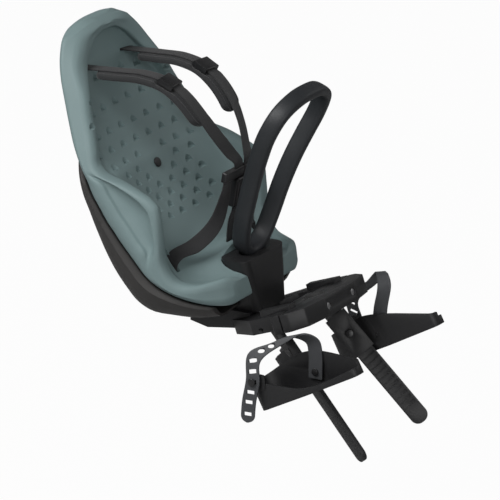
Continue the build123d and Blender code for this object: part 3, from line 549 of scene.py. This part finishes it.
# Seat pad: one moulding of closed-cell foam with a thick rounded rim, a panel let into the back, high
# wings with a ledge and a flat side, and staggered rows of half-moon dimples. A button holds it to the
# shell.
DIMPLE_R = 0.0072
DIMPLE_TILT = -46
DIMPLE_PITCH = 0.034
DIMPLE_ROWS = 11
DIMPLE_COLUMNS = 8
DIMPLE_REACH = 3.5
DIMPLE_TOP = 22.5
DIMPLE_STEP = 6.4
DIMPLE_WIDE = -8
DIMPLE_STEEP = 0.75
BAR_SIDES = 20
BUTTON_ANGLE = -9.3
BUTTON_R = 0.007
BUTTON_CLEAR = 3
WING_RECESS = 0.005
WING_STEP = 0.0025
HIP_X = 0.107
HIP_Y = 0.170
HIP_HALF = 0.0045
HIP_TOP = 0.10
CROTCH_Y = 0.137
CROTCH_BOTTOM = -0.03
CROTCH_TOP = 0.12
NOTCH_ABOVE = 0.022
PAD_SMOOTH = 42


def pad_ring(station):
    """Outline of the pad on one fan plane: panel, wall, rounded rim, ledge, side and back."""
    width, rim = rim_size(station)
    lip, pan, crease = station.lip, station.pan, station.crease
    panel = width - rim
    wall = pan - lip
    nose = min(rim, RIM)
    end = station.rear - 0.2 * nose - HEAD_TUCK * (rim - nose)
    half = [
        (0, station.inner),
        (0.5 * panel, 0.5 * (station.inner + pan) - 0.08 * wall),
        (0.83 * panel, pan - 0.26 * wall),
        (0.96 * panel, pan - 0.42 * wall),
        (panel + 0.04 * rim, pan - 0.7 * wall),
        (width - 0.82 * rim, lip + 0.1 * wall),
        (width - 0.62 * rim, lip + 0.015 * wall),
        (width - 0.34 * nose, lip),
        (width - 0.1 * nose, lip + 0.14 * nose),
    ]
    if crease:
        ledge = lip + 0.55 * nose
        flat = width - WING_RECESS
        half += [(width, ledge), (flat, ledge + WING_STEP), (flat, crease - WING_STEP), (width, crease)]
    else:
        ledge = lip + 0.4 * nose
        half += [(width, ledge + share * (end - ledge)) for share in (0, 0.3, 0.6, 0.8)]
    half += [(width - 0.06 * nose, end)] + underside(station)
    return mirrored([fan(station.angle, x, r) for x, r in half])


def dimple_cutter(place, normal):
    """A short round bar leaning out of the surface, so that it cuts a half moon."""
    side = Vector((1, 0, 0))
    up = normal.cross(side).normalized()
    side = up.cross(normal).normalized()
    frame_of_face = Matrix((side, up, normal)).transposed()
    lean = Matrix.Rotation(radians(DIMPLE_TILT), 3, "X")
    turn = (frame_of_face @ lean).to_4x4()
    middle = place + turn @ Vector((0, 0, 2 * DIMPLE_R))
    bpy.ops.object.select_all(action="DESELECT")
    bpy.ops.mesh.primitive_cylinder_add(vertices=BAR_SIDES, radius=DIMPLE_R, depth=4 * DIMPLE_R)
    bar = bpy.context.object
    bar.matrix_world = Matrix.Translation(middle) @ turn
    settle(bar)
    return bar


def aim(piece, angle, x):
    """Where a line from the lap line first meets a piece, and the surface's direction there."""
    way = Vector((0, cos(radians(angle)), sin(radians(angle))))
    return piece.ray_cast(Vector((x, LAP.y, LAP.z)), way)[1:3]


pad = loft("pad_moulding", [pad_ring(s) for s in STATIONS])
modify(pad, "SUBSURF", levels=1, render_levels=1)
button_at = aim(pad, BUTTON_ANGLE, 0)[0]
cutters = []
for row in range(DIMPLE_ROWS):
    angle = DIMPLE_TOP - DIMPLE_STEP * row
    outermost = DIMPLE_REACH if angle > DIMPLE_WIDE else DIMPLE_REACH - 1
    first = -DIMPLE_REACH if row % 2 else 0.5 - DIMPLE_REACH
    for step in range(DIMPLE_COLUMNS):
        column = first + step
        place, normal = aim(pad, angle, column * DIMPLE_PITCH)
        clear = (place - button_at).length > BUTTON_CLEAR * BUTTON_R
        if clear and abs(column) <= outermost and abs(normal.x) < DIMPLE_STEEP:
            cutters.append(dimple_cutter(place, normal))
cutters += shoulder_slots()
for x in (-HIP_X, HIP_X):
    near = (x - HIP_HALF, HIP_Y - SLOT_HALF, 0)
    far = (x + HIP_HALF, HIP_Y + SLOT_HALF, HIP_TOP)
    cutters.append(box_cutter(near, far))
near = (-SLOT_HALF, CROTCH_Y - SLOT_GAP, CROTCH_BOTTOM)
far = (SLOT_HALF, CROTCH_Y + SLOT_GAP, CROTCH_TOP)
cutters.append(box_cutter(near, far))
carve(pad, cutters)
carve(pad, [base_room(NOTCH_ABOVE)])


def foam(name, light, dark):
    """Closed-cell foam: soft patches of tone and a fine skin grain."""
    material, dye, shader = blank(name)
    place = dye.add("TexCoord", {}, {}, "Object")
    clouds = dye.add("TexNoise", {}, {"Vector": place, "Scale": 9.0, "Detail": 5.0})
    cells = dye.add("TexVoronoi", {"feature": "F1"}, {"Vector": place, "Scale": 700.0})
    grain = dye.add("TexNoise", {}, {"Vector": place, "Scale": 420.0, "Detail": 3.0})
    tint = mixed(dye, clouds * 0.75 + grain * 0.25, dark, light)
    dye.join(shader.inputs["Base Color"], tint)
    dye.join(shader.inputs["Roughness"], grain * 0.18 + 0.52)
    skin = dye.add("Bump", {}, {"Strength": 0.35, "Distance": 0.0004, "Height": cells * 0.5 + grain * 0.5})
    dye.join(shader.inputs["Normal"], skin)
    return material


pad_foam = foam("pad_foam", (0.205, 0.282, 0.286, 1), (0.172, 0.244, 0.248, 1))
surface(pad, pad_foam, PAD_SMOOTH)
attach(pad, "seat")
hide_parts("seat_pad")
dress("pad_rivet", "seat", nylon, 0.001)

# Grip handle: a closed loop of flat bar under a thick soft-touch rubber skin, held in the top of the
# handle base by two screws from below. It leans forward over the child's lap.
HANDLE_AT = Vector((0, 0.107, 0.061))
HANDLE_LEAN = 20.7
HANDLE_THICK = 0.0078
HANDLE_DEPTH = 0.0132
HANDLE_BOW = 0.011
HANDLE_SQUARE = 0.62
HANDLE_SIDES = 20
# Half of the loop's middle line from its foot to its top, in millimetres across and up
HANDLE_OUTLINE = [(0, 3), (25, 14), (40, 50), (47, 95), (55, 140)]
HANDLE_OUTLINE += [(64, 178), (69, 208), (60, 240), (30, 257), (0, 260)]
handle_up = Vector((0, -sin(radians(HANDLE_LEAN)), cos(radians(HANDLE_LEAN))))


def squarish(a, power):
    """Cosine and sine of a rounded square."""
    c, s = cos(a), sin(a)
    return abs(c) ** power * (1 if c > 0 else -1), abs(s) ** power * (1 if s > 0 else -1)


def loop(name):
    """The handle: a torus primitive laid along the outline, with a rounded oblong section."""
    half = []
    for x, v in HANDLE_OUTLINE:
        bow = HANDLE_BOW * sin(pi * v / HANDLE_OUTLINE[-1][1])
        half.append(Vector((x / 1000, bow, 0)) + HANDLE_AT + handle_up * (v / 1000))
    ring = flow(mirrored([tuple(p) for p in half]), closed=True)
    bpy.ops.object.select_all(action="DESELECT")
    bpy.ops.mesh.primitive_torus_add(major_segments=len(ring), minor_segments=HANDLE_SIDES,
                                     major_radius=1, minor_radius=0.1)
    piece = bpy.context.object
    piece.name = name
    facing = handle_up.cross(Vector((1, 0, 0)))
    for number, vertex in enumerate(piece.data.vertices):
        spot, turn = divmod(number, HANDLE_SIDES)
        ahead = Vector(ring[(spot + 1) % len(ring)]) - Vector(ring[spot - 1])
        out = ahead.cross(facing).normalized()
        c, s = squarish(2 * pi * turn / HANDLE_SIDES, HANDLE_SQUARE)
        vertex.co = Vector(ring[spot]) + out * (HANDLE_THICK * c) + facing * (HANDLE_DEPTH * s)
    bpy.ops.object.mode_set(mode="EDIT")
    bpy.ops.mesh.select_all(action="SELECT")
    bpy.ops.mesh.normals_make_consistent(inside=False)
    bpy.ops.object.mode_set(mode="OBJECT")
    return piece


grip_rubber = grained("grip_rubber", (0.022, 0.025, 0.028, 1), (0.015, 0.017, 0.020, 1),
                      rough=0.52, grain=0.0008, depth=0.0002)
grip = loop("grip_loop")
modify(grip, "SUBSURF", levels=1, render_levels=1)
surface(grip, grip_rubber)
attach(grip, "seat")
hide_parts("grip_handle")
dress("handle_base", "seat", nylon, 0.002)
dress("handle_screws", "seat", plated, 0.0003)

# Leg rails: moulded ratchet strips that stick down and forward out of the carriage. Cross pins hold them
# in its sockets, and their teeth set the height of the foot rests.
for node in ("leg_rail_left", "leg_rail_right"):
    dress(node, "seat", nylon, 0.0006)

# Foot rests: open shoes with a sleeve that rides on the rail and a push latch in its side. Pressing the
# latch lets the shoe slide up or down the rail.
gloss_black = grained("gloss_black", (0.02, 0.02, 0.021, 1), (0.012, 0.012, 0.013, 1),
                      rough=0.3, grain=0.002, depth=0.00004)
for side in ("left", "right"):
    dress("foot_cup_" + side, "footrest_" + side, nylon, 0.0008)
    dress("foot_latch_" + side, "latch_" + side, gloss_black, 0.0006)

# Foot straps: soft rubber ladder straps with a row of buttonholes and a rounded tip, riveted to the inner
# wall of the shoe and buttoned on a stud outside it. The left one is let out further than the right one.
STRAP_WIDTH = 0.021
STRAP_THICK = 0.0026
STRAP_COLUMNS = 8
STRAP_SMOOTH = 40
STEP_ALONG = 0.0025
FINE = 24
TURN_WEIGHT = 0.001
TIP_LEAST = 0.02
EDGE_SHARE = 0.25
EDGE_ANGLE = 50
HOLE_R = 0.0032
HOLE_PITCH = 0.0155
HOLE_BAR = 0.012
HOLES_BEFORE = 4
HOLES_AFTER = 3
STUD_HOLE_R = 0.0031
STUD_AT = (0.146, 0.017, -0.071)
STRAP_ROOT = [(91.5, -50, -72), (91.5, -50, -56)]
STRAP_HIGH = [(92, -52, -25), (94, -56, 12), (104, -47, 22), (124, -20, -2)]
STRAP_LOW = [(92, -50, -38), (94, -46, -18), (104, -31, -9), (120, -6, -20)]
STRAP_END = [(139, 20, -40), (147.6, 17, -71), (149, 22, -100), (150, 24, -131)]
STRAP_TURNS = [(0, -1, 0), (0, -1, 0), (0, -1, 0.1), (0, -1, 0.3), (-0.2, -0.9, 0.3), (-0.3, -0.9, 0.1)]
STRAP_TURNS += [(0, -1, -0.3), (0, -1, -0.1), (0, -1, 0), (0, -1, 0)]


def on_side(points, sign):
    """Points for the left side, or mirrored for the right one."""
    return [(sign * x, y, z) for x, y, z in points]


def evenly(rows, step):
    """Rows of numbers, a place first, at even distances along the smooth line through given ones."""
    line = flow(rows, between=FINE)
    walked = np.concatenate([[0], np.cumsum(np.linalg.norm(np.diff(line[:, :3], axis=0), axis=1))])
    marks = np.linspace(0, walked[-1], int(walked[-1] / step) + 2)
    return marks, np.stack([np.interp(marks, walked, column) for column in line.T], axis=1)


def band(name, path, turns, width, thickness, tip=0.0):
    """A strap: a grid primitive laid along a smooth line, with thickness, eased edges and UVs in metres."""
    rows = []
    for place, turn in zip(path, turns):
        rows.append([value / 1000 for value in place] + list(Vector(turn).normalized() * TURN_WEIGHT))
    marks, line = evenly(rows, STEP_ALONG)
    bpy.ops.object.select_all(action="DESELECT")
    bpy.ops.mesh.primitive_grid_add(x_subdivisions=STRAP_COLUMNS, y_subdivisions=len(marks) - 1, size=1)
    strap = bpy.context.object
    strap.name = name
    for vertex in strap.data.vertices:
        row, column = divmod(vertex.index, STRAP_COLUMNS + 1)
        left = marks[-1] - marks[row]
        narrow = sqrt(max(TIP_LEAST, 1 - (1 - left / tip) ** 2)) if left < tip else 1
        side = Vector(line[row, 3:]).normalized()
        vertex.co = Vector(line[row, :3]) + side * (width * narrow * (column / STRAP_COLUMNS - 0.5))
    texture = strap.data.uv_layers[0].data
    for corner in strap.data.loops:
        row, column = divmod(corner.vertex_index, STRAP_COLUMNS + 1)
        texture[corner.index].uv = (width * (column / STRAP_COLUMNS - 0.5), marks[row])
    modify(strap, "SOLIDIFY", thickness=thickness, offset=0)
    modify(strap, "BEVEL", width=EDGE_SHARE * thickness, segments=2, limit_method="ANGLE",
           angle_limit=radians(EDGE_ANGLE))
    return strap, line


def hole_bar(place, way, radius):
    """A round bar to cut a hole with."""
    bpy.ops.object.select_all(action="DESELECT")
    turn = Vector(way).to_track_quat("Z", "Y").to_euler()
    bpy.ops.mesh.primitive_cylinder_add(vertices=BAR_SIDES, radius=radius, depth=HOLE_BAR,
                                        location=place, rotation=turn)
    bar = bpy.context.object
    settle(bar)
    return bar


strap_rubber = grained("strap_rubber", (0.062, 0.065, 0.070, 1), (0.046, 0.048, 0.052, 1),
                       rough=0.6, grain=0.0010, depth=0.00018)
for side, sign, reach in (("left", 1, STRAP_HIGH), ("right", -1, STRAP_LOW)):
    path = on_side(STRAP_ROOT + reach + STRAP_END, sign)
    turns = on_side(STRAP_TURNS, sign)
    strap, line = band("foot_tape_" + side, path, turns, STRAP_WIDTH, STRAP_THICK, STRAP_WIDTH / 2)
    stud = np.array(on_side([STUD_AT], sign)[0])
    nearest = int(np.argmin(np.linalg.norm(line[:, :3] - stud, axis=1)))
    bars = []
    for k in range(-HOLES_BEFORE, HOLES_AFTER + 1):
        row = nearest + round(k * HOLE_PITCH / STEP_ALONG)
        way = np.cross(line[row + 1, :3] - line[row - 1, :3], line[row, 3:])
        bars.append(hole_bar(line[row, :3], way, HOLE_R if k else STUD_HOLE_R))
    carve(strap, bars)
    surface(strap, strap_rubber, STRAP_SMOOTH)
    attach(strap, "footrest_" + side)
    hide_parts("foot_strap_" + side)
    dress("strap_stud_" + side, "footrest_" + side, gloss_black, 0.0008)
    dress("strap_rivet_" + side, "footrest_" + side, gloss_black, 0.0005)

# Harness webbing: black polyester tape from bars behind the shell and under the pad, over the shoulders,
# round the hips and up between the legs to the buckle.
WEB_WIDTH = 0.022
WEB_THICK = 0.0018
WEB_TWILL = 0.0026
WEB_RIB = 0.0018
ANCHORS_BEHIND = 0.3
ANCHORS_CLOSER = 0.007
ACROSS = (1, 0, 0)
SHOULDER_PATH = [(56, 369, 307), (56, 345, 307), (55, 285, 310), (52, 240, 311)]
SHOULDER_PATH += [(49, 206, 303), (47, 182, 287), (44, 160, 263), (35, 140, 233)]
SHOULDER_PATH += [(22, 125, 206), (13.5, 116.9, 190.7), (13.5, 119.5, 174.6)]
SHOULDER_TURNS = [ACROSS] * 6 + [(1, 0, -0.15), (1, 0, -0.4), (1, 0, -0.35), ACROSS, ACROSS]
HIP_PATH = [(107, 170, 18.4), (107, 170, 36.7), (107, 170, 63), (101, 168, 70), (76, 152, 81)]
HIP_PATH += [(52, 134, 106), (39.5, 124.7, 144), (37.5, 121.4, 163.8), (37.5, 118.7, 179.6)]
HIP_TURNS = [(0, 1, 0)] * 3 + [(0.05, 1, 0.2), (0.1, 0.75, 0.6), (0.45, 0.5, 0.6)]
HIP_TURNS += [(0.9, 0.15, 0.35), ACROSS, ACROSS]
CROTCH_PATH = [(0, 137, 9.8), (0, 137, 47.8), (0, 137, 84)]
CROTCH_PATH += [(0, 134, 105), (0, 129, 118.4), (0, 126.3, 134.2)]


def webbing(name, light, dark):
    """Woven tape: a chevron twill over lengthwise ribs, with a little lint."""
    material, dye, shader = blank(name)
    tape = dye.add("UVMap", {}, {})
    across = dye.add("SeparateXYZ", {}, {"Vector": tape}, "X")
    along = dye.add("SeparateXYZ", {}, {"Vector": tape}, "Y")
    twill = dye.maths("SINE", (along + abs(across)) * (2 * pi / WEB_TWILL))
    ribs = dye.maths("SINE", across * (2 * pi / WEB_RIB))
    place = dye.add("TexCoord", {}, {}, "Object")
    lint = dye.add("TexNoise", {}, {"Vector": place, "Scale": 160.0, "Detail": 4.0})
    height = twill * 0.3 + ribs * 0.2 + 0.5
    dye.join(shader.inputs["Base Color"], mixed(dye, height * 0.6 + lint * 0.4, dark, light))
    dye.join(shader.inputs["Roughness"], lint * 0.2 + 0.6)
    weave = dye.add("Bump", {}, {"Strength": 0.8, "Distance": 0.0003, "Height": height})
    dye.join(shader.inputs["Normal"], weave)
    shader.inputs["Sheen Weight"].default_value = 0.15
    return material


black_webbing = webbing("black_webbing", (0.026, 0.026, 0.028, 1), (0.009, 0.009, 0.010, 1))
tapes = [("crotch_tape", "crotch_strap", CROTCH_PATH, [ACROSS] * len(CROTCH_PATH))]
for side, sign in (("left", 1), ("right", -1)):
    for name, course, turns in (("shoulder", SHOULDER_PATH, SHOULDER_TURNS), ("hip", HIP_PATH, HIP_TURNS)):
        names = (name + "_tape_" + side, name + "_strap_" + side)
        tapes.append((*names, on_side(course, sign), on_side(turns, sign)))
for name, node, path, turns in tapes:
    tape = band(name, path, turns, WEB_WIDTH, WEB_THICK)[0]
    surface(tape, black_webbing, STRAP_SMOOTH)
    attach(tape, "seat")
    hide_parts(node)
anchors = dress("strap_anchors", "seat", nylon, 0.0005)
for vertex in anchors.data.vertices:
    if vertex.co.y > ANCHORS_BEHIND:
        vertex.co.y -= ANCHORS_CLOSER

# Shoulder pads: sewn foam sleeves under the shoulder straps, crowned in the middle, with a stitched
# channel along each edge. The strap adjusters press a shallow dent into them.
PAD_PATH = [(55, 316, 309), (54.5, 285, 310), (52, 240, 311), (49, 206, 303)]
PAD_PATH += [(47, 182, 287), (44.3, 162, 265.5), (41, 151, 250)]
PAD_HALF = 0.0205
PAD_THICK = 0.0054
PAD_DROP = 0.007
PAD_ROUND = 0.014
PAD_SQUARE = 0.55
PAD_END = 0.35
END_LEAST = 0.03
SLEEVE_STEP = 0.002
SLEEVE_POINTS = 32
RING_EVERY = 3
CHANNEL_TURN = 55
CHANNEL_WIDE = 9
CHANNEL_DEPTH = 0.0009
LOCK_AT = np.array((0.049, 0.206, 0.3027))
LOCK_REACH = 0.017
LOCK_DENT = 0.0034
LOCK_FADES = 2.4
STITCH = (0.0005, 0.0014, 0.0005)
STITCH_EVERY = 2


def sleeve_point(place, up, a, narrow, dent):
    """A point of the sleeve's cross-section at a turn about its middle."""
    c, s = squarish(a, PAD_SQUARE)
    turn = abs(np.degrees(a) % 180 - 90)
    channel = CHANNEL_DEPTH * max(0, 1 - abs(turn - (90 - CHANNEL_TURN)) / CHANNEL_WIDE)
    height = s * (PAD_THICK - channel) * (PAD_END + (1 - PAD_END) * narrow)
    if s > 0:
        height -= dent * s
    return place + up * height + np.array((PAD_HALF * narrow * c, 0, 0))


def stitch_at(spot, ahead):
    """One stitch of a seam that runs along the sleeve."""
    bpy.ops.object.select_all(action="DESELECT")
    bpy.ops.mesh.primitive_uv_sphere_add(segments=8, ring_count=6, radius=1, location=spot)
    stitch = bpy.context.object
    stitch.scale = STITCH
    stitch.rotation_euler = Vector(ahead).to_track_quat("Y", "Z").to_euler()
    return stitch


def knit(name, light, dark):
    """Brushed knit cloth: fine loops and a soft nap."""
    material, dye, shader = blank(name)
    place = dye.add("TexCoord", {}, {}, "Object")
    loops = dye.add("TexVoronoi", {"feature": "F1"}, {"Vector": place, "Scale": 900.0})
    nap = dye.add("TexNoise", {}, {"Vector": place, "Scale": 60.0, "Detail": 5.0})
    dye.join(shader.inputs["Base Color"], mixed(dye, loops * 0.5 + nap * 0.5, dark, light))
    dye.join(shader.inputs["Roughness"], nap * 0.2 + 0.72)
    stitchwork = dye.add("Bump", {}, {"Strength": 0.7, "Distance": 0.0003, "Height": loops})
    dye.join(shader.inputs["Normal"], stitchwork)
    shader.inputs["Sheen Weight"].default_value = 0.2
    return material


slate_knit = knit("slate_knit", (0.022, 0.023, 0.025, 1), (0.011, 0.0115, 0.0125, 1))
thread = webbing("seam_thread", (0.05, 0.052, 0.055, 1), (0.03, 0.031, 0.033, 1))
for side, sign in (("left", 1), ("right", -1)):
    marks, line = evenly([[v / 1000 for v in point] for point in on_side(PAD_PATH, sign)], SLEEVE_STEP)
    lock = np.array(on_side([LOCK_AT], sign)[0])
    rings, stitches = [], []
    for row, place in enumerate(line):
        ahead = line[min(row + 1, len(line) - 1)] - line[max(row - 1, 0)]
        up = np.cross(ahead, ACROSS)
        up = up / np.linalg.norm(up)
        nearer_end = min(marks[row], marks[-1] - marks[row])
        narrow = sqrt(max(END_LEAST, 1 - max(0, 1 - nearer_end / PAD_ROUND) ** 2))
        away = np.linalg.norm(place - lock) / LOCK_REACH
        fade = min(1, max(0, 1 + LOCK_FADES * (away - 1)))
        dent = LOCK_DENT * (0.5 + 0.5 * cos(pi * fade))
        middle = place - up * PAD_DROP
        if row % RING_EVERY == 0 or nearer_end < PAD_ROUND:
            turns = [2 * pi * i / SLEEVE_POINTS for i in range(SLEEVE_POINTS)]
            rings.append([sleeve_point(middle, up, turn, narrow, dent) for turn in turns])
        if row % STITCH_EVERY == 0 and nearer_end > PAD_ROUND:
            for turn in (radians(CHANNEL_TURN), radians(180 - CHANNEL_TURN)):
                stitches.append(stitch_at(sleeve_point(middle, up, turn, narrow, dent), ahead))
    sleeve = loft("shoulder_sleeve_" + side, rings)
    surface(sleeve, slate_knit)
    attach(sleeve, "seat")
    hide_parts("shoulder_pad_" + side)
    seam = joined(stitches)
    seam.name = "shoulder_seam_" + side
    settle(seam)
    surface(seam, thread)
    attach(seam, "seat")
    dress("strap_adjuster_" + side, "seat", gloss_black, 0.0006)

# Buckle: a moulded housing with a round push button in front, into which the two tongues click from
# above. Each tongue carries a shoulder strap and a hip strap.
button_grey = grained("button_grey", (0.060, 0.061, 0.063, 1), (0.045, 0.046, 0.048, 1),
                      rough=0.42, grain=0.002, depth=0.00004)
dress("buckle_housing", "seat", gloss_black, 0.001)
dress("buckle_button", "buckle_push", button_grey, 0.0006)
for side in ("left", "right"):
    dress("buckle_tongue_" + side, "seat", gloss_black, 0.0008)
